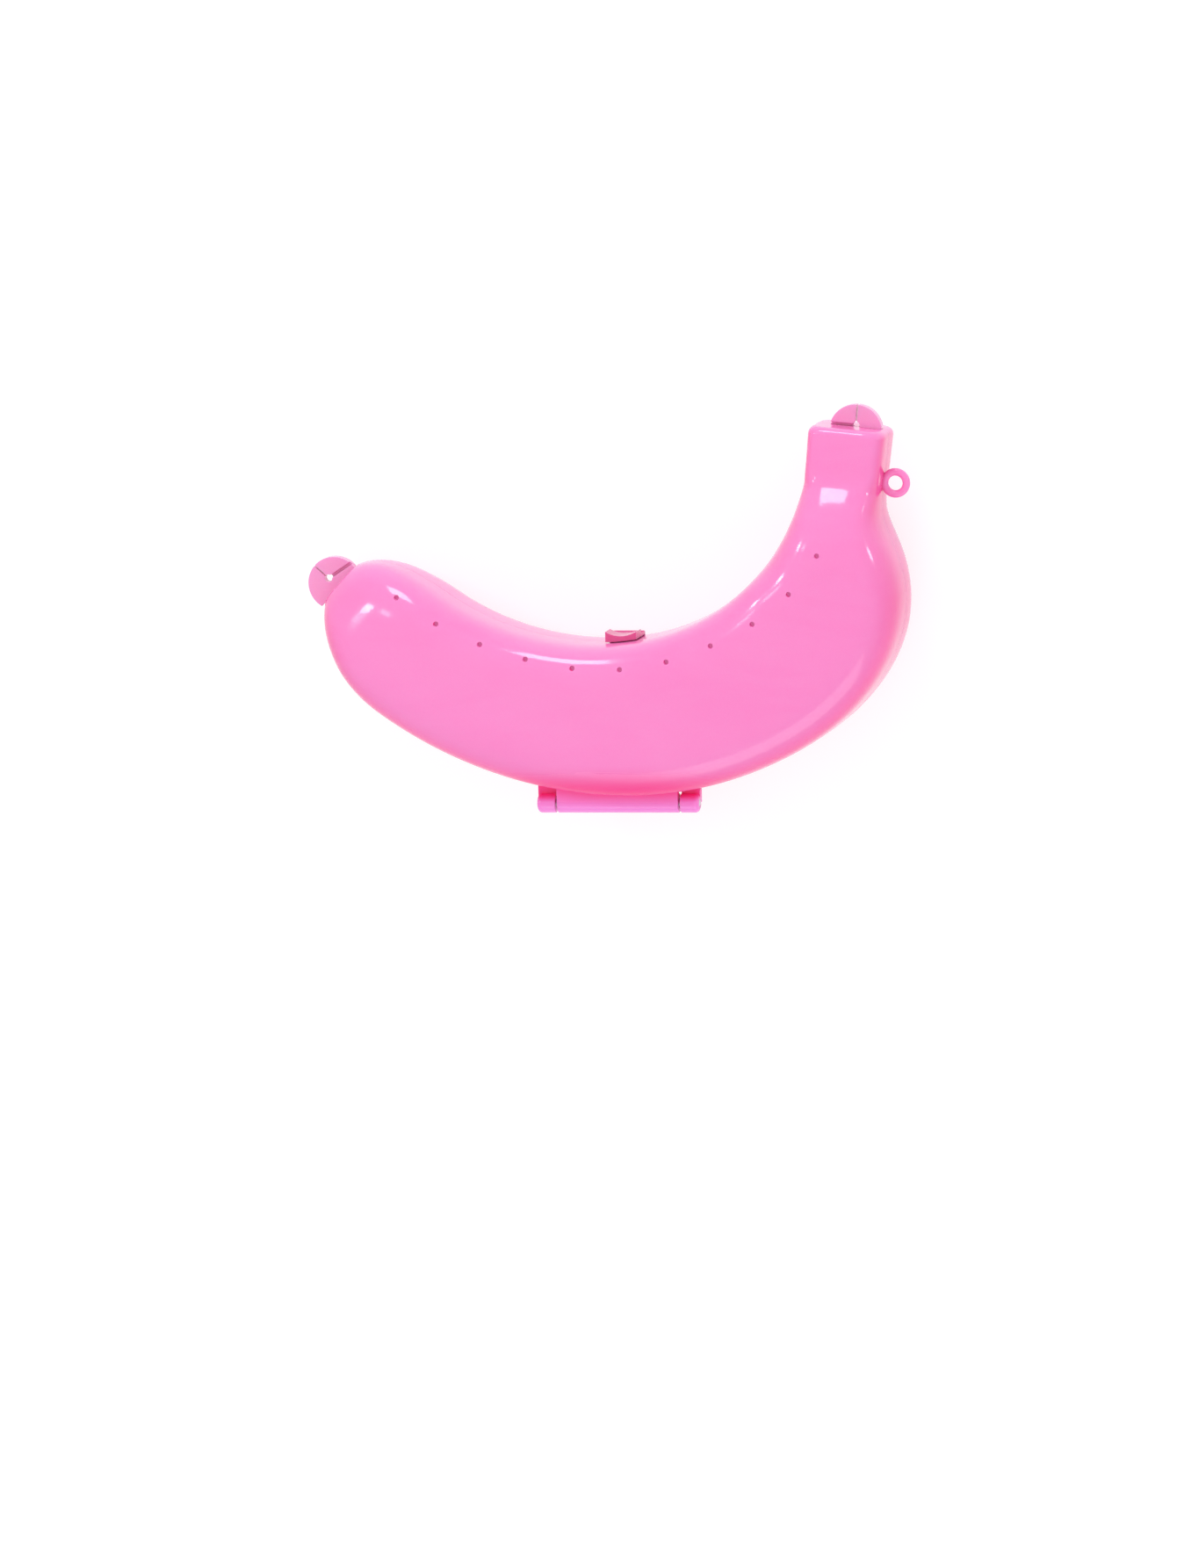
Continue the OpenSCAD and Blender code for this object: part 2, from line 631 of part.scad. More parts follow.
module latch_tongue() {
    dip = min(pad_hollow, pad_out - 0.1);
    hollow_r = (tongue_w * tongue_w / 4 + dip * dip) / (2 * dip);
    color(deep_pink) place() difference() {
        translate([tongue_x - tongue_w / 2, 0, 0]) union() {
            translate([0, tongue_in, -tongue_down]) cube([tongue_w, tongue_t, tongue_up + tongue_down]);
            translate([0, rim_y, hook_low]) cube([tongue_w, tongue_gap + 0.1, tongue_up - hook_low]);
            translate([0, tongue_in + tongue_t - 0.1, -pad_down])
                cube([tongue_w, pad_out + 0.1, tongue_up + pad_down]);
            translate([0, pivot_y, -tongue_down]) rotate([0, 90, 0]) cylinder(r = foot_r, h = tongue_w);
        }
        translate([tongue_x, tongue_in + tongue_t + pad_out - dip + hollow_r, -pad_down - 1])
            cylinder(r = hollow_r, h = tongue_up + pad_down + 2, $fn = 96);
        stretch(front_depth, 1, ring_near(-20), ring_near(25), -hook_gap);
        stretch(back_depth, -1, ring_near(-20), ring_near(25), -hook_gap);
    }
}

back_shell();
back_stem_block();
hinge_ear_tip();
hinge_ear_stem();
hinge_pin();
back_tip_tab();
back_stem_tab();
latch_root();
latch_tongue();
front_shell();
front_stem_block();
hinge_barrel();
front_tip_tab();
front_stem_tab();
lanyard_loop();
catch_bead();
lip_inner();
lip_outer();
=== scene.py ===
import json
import math

import bmesh
import bpy
from mathutils import Matrix, Vector


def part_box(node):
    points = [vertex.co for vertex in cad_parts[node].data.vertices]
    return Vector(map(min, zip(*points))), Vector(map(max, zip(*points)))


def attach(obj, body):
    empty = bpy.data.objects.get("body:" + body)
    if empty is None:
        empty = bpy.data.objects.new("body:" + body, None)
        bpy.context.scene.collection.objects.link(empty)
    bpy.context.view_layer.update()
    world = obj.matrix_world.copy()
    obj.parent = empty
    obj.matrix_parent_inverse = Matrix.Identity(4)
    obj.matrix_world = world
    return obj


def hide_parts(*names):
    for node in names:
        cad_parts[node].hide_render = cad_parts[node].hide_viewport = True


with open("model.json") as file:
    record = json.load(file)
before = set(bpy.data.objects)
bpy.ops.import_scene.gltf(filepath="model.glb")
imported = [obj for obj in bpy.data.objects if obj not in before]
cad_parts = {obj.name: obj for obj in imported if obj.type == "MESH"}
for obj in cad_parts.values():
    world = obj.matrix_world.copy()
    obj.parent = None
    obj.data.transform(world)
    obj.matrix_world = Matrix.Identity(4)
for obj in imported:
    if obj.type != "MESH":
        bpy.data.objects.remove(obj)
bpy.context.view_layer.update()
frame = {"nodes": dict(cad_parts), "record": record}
scene = bpy.context.scene
scene.view_settings.view_transform = "Standard"

# Sizes of the case in millimetres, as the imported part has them

MM = 0.001
TIP_BEND_R = 113
TIP_BEND = math.radians(42)
TIP_LEN = 19.5
BELLY_BEND_R = 95
BELLY_BEND = math.radians(35)
NECK_BEND_R = 43
NECK_BEND = math.radians(49)
STEM_LEN = 44.5
TIP_HALF = 21.3
SHOULDER_HALF = 26
BELLY_FULL = 1.1
STEM_IN = 12.6
STEM_OUT = 11.7
STEM_FLARE = 0.6
CASE_DEPTH = 22
STEM_DEPTH = 11.5
WALL = 1.8
TIP_DOME = 37
TIP_BLUNT = 0.95
TIP_FULL_IN = 2.5
TIP_FULL_OUT = 1.9
TIP_FULL_SIDE = 2.2
BLOCK_LEN = 16.5
RAMP_LEN = 27
RAMP_ROUND = 2.2
SHOULDER_LEN = 50
STEM_EDGE_R = 2.4
BODY_SQUARE = 4.3
TIP_SQUARE = 2.8
RAMP_SQUARE = 3.2
STEM_SQUARE = 5.5
CREASE_SOFT = 3
NECK_SOFT = 32
NECK_FROM = 38
OUTER_FROM = 36
OUTER_TO = 115
OUTER_LATE = 3
HINGE_ASIDE = 1.5
KNUCKLE_R = 3.1
KNUCKLE_GAP = 0.6

TIP_ARC = TIP_BEND_R * TIP_BEND
BELLY_ARC = BELLY_BEND_R * BELLY_BEND
NECK_ARC = NECK_BEND_R * NECK_BEND
TIP_END = -TIP_ARC - TIP_LEN
STEM_END = BELLY_ARC + NECK_ARC + STEM_LEN
TIP_BASE = TIP_END + TIP_DOME * TIP_BLUNT
RAMP_FOOT = STEM_END - BLOCK_LEN
RAMP_TOP = RAMP_FOOT - RAMP_LEN
SHOULDER_AT = RAMP_FOOT - SHOULDER_LEN


# Centre line and sections of the case

def clamped(share):
    return min(max(share, 0.0), 1.0)


def ease(share):
    c = clamped(share)
    return c * c * (3 - 2 * c)


def eased_sum(u):
    """Area under the eased step up to u."""
    c = clamped(u)
    return c ** 3 - c ** 4 / 2 + max(u - 1, 0)


def steps(first, last, count):
    return [first + (last - first) * i / count for i in range(count + 1)]


def onward(point, heading, length):
    return point[0] + length * math.cos(heading), point[1] + length * math.sin(heading)


def stem_heading(s):
    """Heading of the centre line towards the stem: the bend tightens and straightens gradually."""
    tighter = eased_sum((s - BELLY_ARC) / NECK_SOFT + 0.5)
    straighter = eased_sum((s - BELLY_ARC - NECK_ARC) / NECK_SOFT + 0.5)
    bend = (1 / NECK_BEND_R - 1 / BELLY_BEND_R) * tighter - straighter / NECK_BEND_R
    return s / BELLY_BEND_R + NECK_SOFT * bend


def stem_points():
    """Points of the centre line from the belly to the stem, a millimetre apart."""
    points = [(0.0, 0.0)]
    while len(points) < STEM_END + 2:
        points.append(onward(points[-1], stem_heading(len(points) - 0.5), 1))
    return points


STEM_POINTS = stem_points()


def centre_line(s):
    """Point and heading of the centre line, s millimetres from the belly's lowest point towards the stem."""
    if s < 0:
        bend = min(-s, TIP_ARC) / TIP_BEND_R
        rest = max(-s - TIP_ARC, 0)
        x = -TIP_BEND_R * math.sin(bend) - rest * math.cos(bend)
        y = TIP_BEND_R * (1 - math.cos(bend)) + rest * math.sin(bend)
        return x, y, -bend
    whole = math.floor(s)
    rest = s - whole
    return *onward(STEM_POINTS[whole], stem_heading(whole + rest / 2), rest), stem_heading(s)


def full_half(s):
    """Half width of the body before it narrows to the stem."""
    q = min((s - TIP_BASE) / (SHOULDER_AT - TIP_BASE), 1)
    return TIP_HALF + (SHOULDER_HALF - TIP_HALF) * (q + BELLY_FULL * q * q * (1 - q))


def outer_half(s):
    share = clamped((s - OUTER_FROM) / (OUTER_TO - OUTER_FROM)) ** OUTER_LATE
    flare = STEM_FLARE * clamped((s - RAMP_FOOT) / (BLOCK_LEN - STEM_EDGE_R))
    return full_half(s) + (STEM_OUT - full_half(s)) * ease(share) + flare


def rim_point(s):
    x, y, heading = centre_line(s)
    return onward((x, y), heading + math.pi / 2, full_half(s))


def neck_arc():
    """Arc of the inner rim from the belly to the stem block: its middle, its radius and its last place."""
    start = rim_point(NECK_FROM)
    before = rim_point(NECK_FROM - 0.5)
    after = rim_point(NECK_FROM + 0.5)
    lean = math.atan2(after[1] - before[1], after[0] - before[0])
    x, y, stem = centre_line(STEM_END)
    room = (x - start[0]) * math.sin(stem) + (start[1] - y) * math.cos(stem) - STEM_IN
    radius = room / (1 - math.cos(stem - lean))
    middle = onward(start, lean + math.pi / 2, radius)
    last = STEM_END + (middle[0] - x) * math.cos(stem) + (middle[1] - y) * math.sin(stem)
    return middle, radius, last


NECK_MIDDLE, NECK_R, NECK_TO = neck_arc()


def inner_half(s):
    if s < NECK_FROM:
        return full_half(s)
    if s > NECK_TO:
        return STEM_IN
    x, y, heading = centre_line(s)
    ahead = (NECK_MIDDLE[0] - x) * math.cos(heading) + (NECK_MIDDLE[1] - y) * math.sin(heading)
    aside = (NECK_MIDDLE[1] - y) * math.cos(heading) - (NECK_MIDDLE[0] - x) * math.sin(heading)
    return aside - math.sqrt(NECK_R ** 2 - ahead ** 2)


def ramp_depth(s):
    left = 1 - clamped((RAMP_FOOT - s) / RAMP_LEN)
    return STEM_DEPTH + (CASE_DEPTH - STEM_DEPTH) * (1 - left ** RAMP_ROUND)


def body_depth(s):
    """Depth of a half case; the crease under the stem block is a little soft."""
    half = CREASE_SOFT / 2
    near = ramp_depth(s - half) + ramp_depth(s) + ramp_depth(s + half)
    return (ramp_depth(s - CREASE_SOFT) + 2 * near + ramp_depth(s + CREASE_SOFT)) / 8


def body_square(s):
    to_ramp = ease((s - SHOULDER_AT) / (RAMP_TOP - SHOULDER_AT))
    to_block = ease((s - RAMP_FOOT + CREASE_SOFT) / (2 * CREASE_SOFT))
    square = BODY_SQUARE + (RAMP_SQUARE - BODY_SQUARE) * to_ramp
    return square + (STEM_SQUARE - square) * to_block


def closing(x, fullness):
    return (1 - x ** fullness) ** (1 / fullness)


def tip_ring(x):
    half_in = TIP_HALF * closing(x, TIP_FULL_IN)
    half_out = TIP_HALF * closing(x, TIP_FULL_OUT)
    depth = CASE_DEPTH * closing(x, TIP_FULL_SIDE)
    square = BODY_SQUARE + (TIP_SQUARE - BODY_SQUARE) * (x / TIP_BLUNT) ** 2
    return TIP_BASE - TIP_DOME * x, half_in, half_out, depth, square


def body_ring(s):
    return s, inner_half(s), outer_half(s), body_depth(s), body_square(s)


def stem_edge_ring(turn):
    lost = STEM_EDGE_R * (1 - math.cos(turn))
    s = STEM_END - STEM_EDGE_R * (1 - math.sin(turn))
    return s, STEM_IN - lost, STEM_OUT + STEM_FLARE - lost, STEM_DEPTH - lost, STEM_SQUARE


def shrunk(ring, share):
    s, half_in, half_out, depth, square = ring
    return s, half_in * share, half_out * share, depth * share, square


# Place of the case in the frame, from the axis of its hinge

def hinge_axis():
    lid = next(joint for joint in frame["record"]["behaviour"]["joints"] if joint["name"] == "lid_hinge")
    return Vector(lid["pos_m"]) / MM


HINGE = hinge_axis()
BELLY = HINGE + Vector((HINGE_ASIDE, outer_half(0) + KNUCKLE_GAP + KNUCKLE_R, 0))


def beside(s, side, up):
    """Frame point, in metres, at a sideways and an upward distance from the centre line."""
    x, y, heading = centre_line(s)
    spot = Vector((x - math.sin(heading) * side, y + math.cos(heading) * side, up))
    return (spot + BELLY) * MM


# Camera at the photograph's viewing angle: from the right, a little from above, rolled to level the hinge

TURN = math.radians(13)
RISE = math.radians(8)
ROLL = math.radians(1.84)
PICTURE_SIZE = (1340, 1785)
PICTURE_BELLY = (707, 815)
PIXELS_PER_MM = 3.59
LENS = 400
SENSOR = 36
CLIP_METRES = (0.1, 50)


def place_camera():
    level = Vector((math.cos(TURN), 0, -math.sin(TURN)))
    upright = Vector((-math.sin(RISE) * math.sin(TURN), math.cos(RISE), -math.sin(RISE) * math.cos(TURN)))
    right = level * math.cos(ROLL) - upright * math.sin(ROLL)
    up = level * math.sin(ROLL) + upright * math.cos(ROLL)
    towards = right.cross(up)
    across = (PICTURE_SIZE[0] / 2 - PICTURE_BELLY[0]) / PIXELS_PER_MM
    above = (PICTURE_BELLY[1] - PICTURE_SIZE[1] / 2) / PIXELS_PER_MM
    distance = PICTURE_SIZE[1] / PIXELS_PER_MM * LENS / SENSOR
    data = bpy.data.cameras.new("camera")
    data.lens = LENS
    data.sensor_width = SENSOR
    data.clip_start, data.clip_end = CLIP_METRES
    camera = bpy.data.objects.new("camera", data)
    turned = Matrix((right, up, towards)).transposed().to_4x4()
    spot = BELLY + right * across + up * above + towards * distance
    camera.matrix_world = Matrix.Translation(spot * MM) @ turned
    scene.collection.objects.link(camera)
    scene.camera = camera


place_camera()


# Materials

class Field:
    """A value that changes over a surface; sums and products of fields add Math nodes."""

    def __init__(self, shading, socket):
        self.shading = shading
        self.socket = socket

    def math(self, operation, first, second):
        return self.shading.node("ShaderNodeMath", {"operation": operation}, {0: first, 1: second})

    def __add__(self, other):
        return self.math("ADD", self, other)

    __radd__ = __add__

    def __mul__(self, other):
        return self.math("MULTIPLY", self, other)

    __rmul__ = __mul__

    def __sub__(self, other):
        return self.math("SUBTRACT", self, other)

    def __rsub__(self, other):
        return self.math("SUBTRACT", other, self)

    def larger(self, other):
        return self.math("MAXIMUM", self, other)

    def between(self, low, high):
        """Zero under low, one over high and a smooth step between them."""
        settings = {"clamp": True, "interpolation_type": "SMOOTHSTEP"}
        inputs = {"Value": self, "From Min": low, "From Max": high}
        return self.shading.node("ShaderNodeMapRange", settings, inputs)


class Shading:
    """The nodes of a material or of the world."""

    def __init__(self, owner):
        owner.use_nodes = True
        self.tree = owner.node_tree

    def fill(self, socket, value):
        if isinstance(value, Field):
            self.tree.links.new(value.socket, socket)
        else:
            socket.default_value = value

    def node(self, kind, settings=None, inputs=None, output=0):
        made = self.tree.nodes.new(kind)
        for key, value in (settings or {}).items():
            setattr(made, key, value)
        for key, value in (inputs or {}).items():
            self.fill(made.inputs[key], value)
        return Field(self, made.outputs[output])

    def seen_rays(self):
        """One where the camera, a reflection or clear material looks, zero for light that bounces."""
        seen = self.node("ShaderNodeLightPath", output="Is Camera Ray")
        for kind in ("Is Glossy Ray", "Is Transmission Ray"):
            seen = seen.larger(self.node("ShaderNodeLightPath", output=kind))
        return seen


class Finish(Shading):
    """A procedural material with one Principled shader."""

    def __init__(self, name):
        self.material = bpy.data.materials.new(name)
        super().__init__(self.material)
        self.shader = self.tree.nodes["Principled BSDF"]

    def set(self, **inputs):
        for key, value in inputs.items():
            self.fill(self.shader.inputs[key.replace("_", " ")], value)

    def place(self, scale=(1, 1, 1), turn=(0, 0, 0)):
        spot = self.node("ShaderNodeTexCoord", output="Object")
        return self.node("ShaderNodeMapping", inputs={"Vector": spot, "Scale": scale, "Rotation": turn})

    def marked(self, name):
        """What the mesh's points carry under a name; zero where they carry nothing."""
        return self.node("ShaderNodeAttribute", {"attribute_name": name}, output="Fac")

    def noise(self, spot, scale=1.0, detail=2.0, twist=0.0):
        inputs = {"Vector": spot, "Scale": scale, "Detail": detail, "Distortion": twist}
        return self.node("ShaderNodeTexNoise", inputs=inputs)

    def hairlines(self, scale, turn, width):
        inputs = {"Vector": self.place(scale, turn), "Scale": 1.0}
        edge = self.node("ShaderNodeTexVoronoi", {"feature": "DISTANCE_TO_EDGE"}, inputs)
        return 1 - edge.between(0.0, width)

    def mix(self, share, first, second):
        return self.node("ShaderNodeMix", {"data_type": "RGBA"}, {0: share, 6: first, 7: second}, output=2)

    def bump(self, height, strength, distance):
        inputs = {"Height": height, "Strength": strength, "Distance": distance}
        return self.node("ShaderNodeBump", inputs=inputs)


def colour(red, green, blue):
    """A colour as a paint program names it, from 0 to 255, as a linear colour."""
    channels = [c / 255 for c in (red, green, blue)]
    linear = [c / 12.92 if c <= 0.04045 else ((c + 0.055) / 1.055) ** 2.4 for c in channels]
    return (*linear, 1.0)


CASE_PINK = colour(253, 137, 204)
PALE_PINK = colour(253, 200, 232)
DEEP_PINK = colour(251, 121, 195)
# Painted shade: the deep pink that the sides turn to
SIDE_SHADE_PINK = colour(252, 60, 148)
# Painted shade: the deep pink of the case and the tubes where the hinge keeps light off
HINGE_SHADE_PINK = colour(253, 20, 134)
BRIGHT_STEEL = (0.72, 0.73, 0.75, 1)
DULL_STEEL = (0.45, 0.46, 0.48, 1)

# Sizes of the marks on the plastic, in cycles to the metre
DRIFT_SCALE = 16
WORN_SCALE = 40
SCUFF_SCALE = 85
RIPPLE_SCALE = 150
RUB_SCALE = 240
SPECK_SCALE = 1400
STREAK_SCALE = (30, 90, 60)
STREAK_TURN = (0.2, 0.1, 0.5)
HAIRLINE_SCALE = (9, 160, 60)
HAIRLINE_TURN = (0.1, 0.2, 0.6)
HAIRLINE_WIDTH = 0.008

# How much each mark, and the painted shade on the sides and beside the hinge, tints the plastic, dulls it and
# lifts its surface
DRIFT_TINT = 0.3
STREAK_TINT = 0.2
RUB_TINT = 0.2
SPECK_TINT = 0.05
SIDE_SHADE_TINT = 0.78
HINGE_SHADE_TINT = 0.8
SCUFF_ROUGH = 0.06
HAIRLINE_ROUGH = 0.08
RUB_ROUGH = 0.14
DRIFT_ROUGH = 0.02
UNDER_ROUGH = 0.45
RIPPLE_LIFT = 0.7
SPECK_LIFT = 0.12
HAIRLINE_DEPTH = 0.1
RIPPLE_STRENGTH = 0.1
RIPPLE_METRES = 0.0006


def pink_plastic(name, main, deep, rough, glow=0.0):
    """Glossy moulded plastic with drifts of pigment, handling marks and rubbed rims, and painted shade that
    deepens its pink on the sides and beside the hinge.

    A little glow stands for the light that comes through the thin wall to its inside.
    """
    finish = Finish(name)
    spot = finish.place()
    drift = finish.noise(spot, DRIFT_SCALE, twist=0.6).between(0.35, 0.65)
    flow = finish.place(STREAK_SCALE, STREAK_TURN)
    streaks = finish.noise(flow, detail=4.0, twist=1.2).between(0.3, 0.72)
    specks = finish.noise(spot, SPECK_SCALE, detail=1.0)
    scuffs = finish.noise(spot, SCUFF_SCALE, detail=5.0, twist=0.3).between(0.5, 0.74)
    worn = finish.noise(spot, WORN_SCALE).between(0.56, 0.66)
    lines = finish.hairlines(HAIRLINE_SCALE, HAIRLINE_TURN, HAIRLINE_WIDTH) * worn
    rubbed = finish.marked("rim") * finish.noise(spot, RUB_SCALE, detail=4.0).between(0.45, 0.7)
    side = finish.marked("side").between(0.1, 0.7)
    under = finish.marked("hinge")
    base = finish.mix(drift * DRIFT_TINT + streaks * STREAK_TINT, main, deep)
    base = finish.mix(rubbed * RUB_TINT + specks * SPECK_TINT, base, PALE_PINK)
    # Painted shade: the pink deepens where the skin turns away from the front
    base = finish.mix(side * SIDE_SHADE_TINT, base, SIDE_SHADE_PINK)
    # Painted shade: deep pink on the case beside the hinge and where the tubes run up to it
    base = finish.mix(under * HINGE_SHADE_TINT, base, HINGE_SHADE_PINK)
    dulled = scuffs * SCUFF_ROUGH + lines * HAIRLINE_ROUGH + rubbed * RUB_ROUGH
    roughness = rough + dulled + drift * DRIFT_ROUGH + under * UNDER_ROUGH
    ripple = finish.noise(spot, RIPPLE_SCALE, detail=1.0) * RIPPLE_LIFT
    height = ripple + specks * SPECK_LIFT - lines * HAIRLINE_DEPTH
    normal = finish.bump(height, RIPPLE_STRENGTH, RIPPLE_METRES)
    finish.set(Base_Color=base, Roughness=roughness, Normal=normal)
    finish.set(IOR=1.47, Coat_Weight=0.25, Coat_Roughness=0.05)
    finish.set(Emission_Color=PALE_PINK, Emission_Strength=glow)
    finish.set(Subsurface_Weight=0.3, Subsurface_Radius=(1.0, 0.65, 0.8), Subsurface_Scale=0.003)
    return finish.material


# Marks of the wire, in cycles to the metre, and how much they tint it, dull it and lift its surface
DRAWN_SCALE = (60, 2600, 2600)
DULL_SCALE = 420
DRAWN_TINT = 0.6
DULL_TINT = 0.3
WIRE_ROUGH = 0.24
DRAWN_ROUGH = 0.14
DULL_ROUGH = 0.12
DRAWN_STRENGTH = 0.2
DRAWN_METRES = 0.0002


def drawn_steel(name):
    """Bright drawn wire: fine lines along its length and a few dull patches."""
    finish = Finish(name)
    drawn = finish.noise(finish.place(DRAWN_SCALE), detail=3.0)
    dull = finish.noise(finish.place(), DULL_SCALE, detail=3.0).between(0.45, 0.7)
    base = finish.mix(drawn * DRAWN_TINT + dull * DULL_TINT, BRIGHT_STEEL, DULL_STEEL)
    finish.set(Base_Color=base, Roughness=WIRE_ROUGH + drawn * DRAWN_ROUGH + dull * DULL_ROUGH)
    finish.set(Metallic=1.0, Normal=finish.bump(drawn, DRAWN_STRENGTH, DRAWN_METRES))
    return finish.material


outside = pink_plastic("pink_outside", CASE_PINK, DEEP_PINK, rough=0.13)
# Painted light: the inside's paler pink, like its glow, stands for light that comes through the thin wall
inside = pink_plastic("pink_inside", colour(251, 170, 222), colour(249, 156, 213), rough=0.36, glow=0.12)
fittings = pink_plastic("pink_fittings", CASE_PINK, DEEP_PINK, rough=0.2)
# Painted light: the hinge tubes take a lighter, bluer pink to make up for the shade they sit in
lightened_hinge_pink = pink_plastic("pink_hinge", colour(255, 140, 226), colour(254, 128, 218), rough=0.2)
tab_pink = pink_plastic("pink_tabs", colour(247, 158, 210), colour(244, 146, 202), rough=0.2)
# Painted shade: the tongue's deeper pink stands for the shade it sits in behind the rim
shaded_tongue_pink = pink_plastic("pink_tongue", colour(222, 74, 144), colour(208, 60, 130), rough=0.22)
steel = drawn_steel("pin_wire")


# Making pieces

WELD_METRES = 1e-6
CREASED = math.radians(38)


def merged(bm, metres=WELD_METRES):
    bmesh.ops.remove_doubles(bm, verts=bm.verts[:], dist=metres)


def soft_edges(bm, edges, radius, rounds=3):
    bmesh.ops.bevel(bm, geom=edges, offset=radius * MM, offset_type="OFFSET", segments=rounds, profile=0.5,
                    affect="EDGES", material=-1, clamp_overlap=True)


def shade(bm):
    bm.normal_update()
    for face in bm.faces:
        face.smooth = True
    for edge in bm.edges:
        edge.smooth = edge.calc_face_angle(0.0) < CREASED


def object_of(name, bm):
    mesh = bpy.data.meshes.new(name)
    bm.to_mesh(mesh)
    bm.free()
    made = bpy.data.objects.new(name, mesh)
    scene.collection.objects.link(made)
    return made


def finished_piece(name, bm, body, stands_for, finishes):
    """Turns a mesh into a piece that moves with a body and stands for the named nodes."""
    merged(bm)
    bmesh.ops.dissolve_degenerate(bm, edges=bm.edges[:], dist=WELD_METRES)
    shade(bm)
    made = object_of(name, bm)
    for finish in finishes:
        made.data.materials.append(finish)
    level = made.modifiers.new("even_shading", "WEIGHTED_NORMAL")
    level.keep_sharp = True
    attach(made, body)
    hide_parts(*stands_for)


# The two half cases

TIP_RINGS = 30
BODY_RINGS = 110
RAMP_RINGS = 26
BLOCK_RINGS = 8
EDGE_RINGS = 8
WALL_SHARES = (0.0, 0.35, 0.7, 0.9)
CREASE_RUN = 2
SECTION_STEPS = 56
RIM_SOFT = 0.35
TIP_WALL_SOFT = 0.7
TIP_WALL_ROUNDS = 4

# Where the skin is rubbed, and where painted shade deepens its pink on the sides and beside the hinge
RUBBED_HEIGHT = 1.6
SIDE_SHADE_EVEN = 0.62
SIDE_SHADE_TIP = 0.3
HINGE_SHADE_ALONG = 62
HINGE_SHADE_FADE_ALONG = 50
HINGE_SHADE_FADE_UP = 9


def case_rings():
    """Rings of a half case from the middle of the tip's end wall to the middle of the stem's end wall."""
    widest = math.asin(TIP_BLUNT)
    block = RAMP_FOOT + CREASE_RUN
    tip = [tip_ring(math.sin(a)) for a in steps(widest, 0, TIP_RINGS)]
    body = [body_ring(s) for s in steps(TIP_BASE, RAMP_TOP, BODY_RINGS)[1:]]
    body += [body_ring(s) for s in steps(RAMP_TOP, block, RAMP_RINGS)[1:]]
    body += [body_ring(s) for s in steps(block, STEM_END - STEM_EDGE_R, BLOCK_RINGS)[1:]]
    edge = [stem_edge_ring(a) for a in steps(0, math.pi / 2, EDGE_RINGS)[1:]]
    first_wall = [shrunk(tip[0], share) for share in WALL_SHARES]
    last_wall = [shrunk(edge[-1], share) for share in reversed(WALL_SHARES)]
    return first_wall + tip + body + edge + last_wall


def section_point(ring, turn, face):
    s, half_in, half_out, depth, square = ring
    c = math.cos(turn)
    q = math.sin(turn)
    reach = (abs(c) ** square + abs(q) ** square) ** (-1 / square)
    return beside(s, reach * c * (half_in if c > 0 else half_out), reach * q * depth * face)


def case_skin(face):
    """Outer skin of half the case, facing outwards, and the points round the tip's end wall."""
    rings = case_rings()
    bm = bmesh.new()
    grid = bmesh.ops.create_grid(bm, x_segments=len(rings) - 1, y_segments=SECTION_STEPS, size=1)
    tip_loop = set()
    for vert in grid["verts"]:
        i = round((vert.co.x + 1) / 2 * (len(rings) - 1))
        j = round((vert.co.y + 1) / 2 * SECTION_STEPS)
        vert.co = section_point(rings[i], math.pi * j / SECTION_STEPS, face)
        if i == len(WALL_SHARES):
            tip_loop.add(vert)
    merged(bm)
    bmesh.ops.dissolve_degenerate(bm, edges=bm.edges[:], dist=WELD_METRES / 10)
    bm.normal_update()
    crown = max(bm.faces, key=lambda f: f.calc_center_median().z * face)
    if crown.normal.z * face < 0:
        bmesh.ops.reverse_faces(bm, faces=bm.faces[:])
    return bm, tip_loop


def half_case(face):
    """Half the case: its skin, its wall, and the rim where the two halves meet."""
    bm, tip_loop = case_skin(face)
    skin = set(bm.verts)
    bmesh.ops.solidify(bm, geom=bm.faces[:], thickness=WALL * MM)
    rim_edges = set()
    for f in bm.faces:
        outer = sum(v in skin for v in f.verts)
        f.material_index = 0 if outer else 1
        if 0 < outer < len(f.verts):
            for v in f.verts:
                v.co.z = BELLY.z * MM
            rim_edges.update(e for e in f.edges if (e.verts[0] in skin) == (e.verts[1] in skin))
    tip_edges = [e for e in bm.edges if e.verts[0] in tip_loop and e.verts[1] in tip_loop]
    soft_edges(bm, [e for e in bm.edges if e in rim_edges], RIM_SOFT)
    tip_edges = [e for e in tip_edges if e.is_valid]
    soft_edges(bm, tip_edges, TIP_WALL_SOFT, TIP_WALL_ROUNDS)
    mark_skin(bm)
    return bm


def side_shade_share(normal):
    """How much painted shade deepens the pink where the skin turns away from the front: least on the inner
    curve, most on the outer curve, and a little more on the side towards the tip.
    """
    turned = math.acos(clamped(abs(normal.z))) / (math.pi / 2)
    outward = -normal.y
    deep = SIDE_SHADE_EVEN + (1 - SIDE_SHADE_EVEN) * outward ** 3 if outward > 0 else SIDE_SHADE_EVEN * (1 + outward)
    return turned * (deep + SIDE_SHADE_TIP * max(-normal.x, 0))


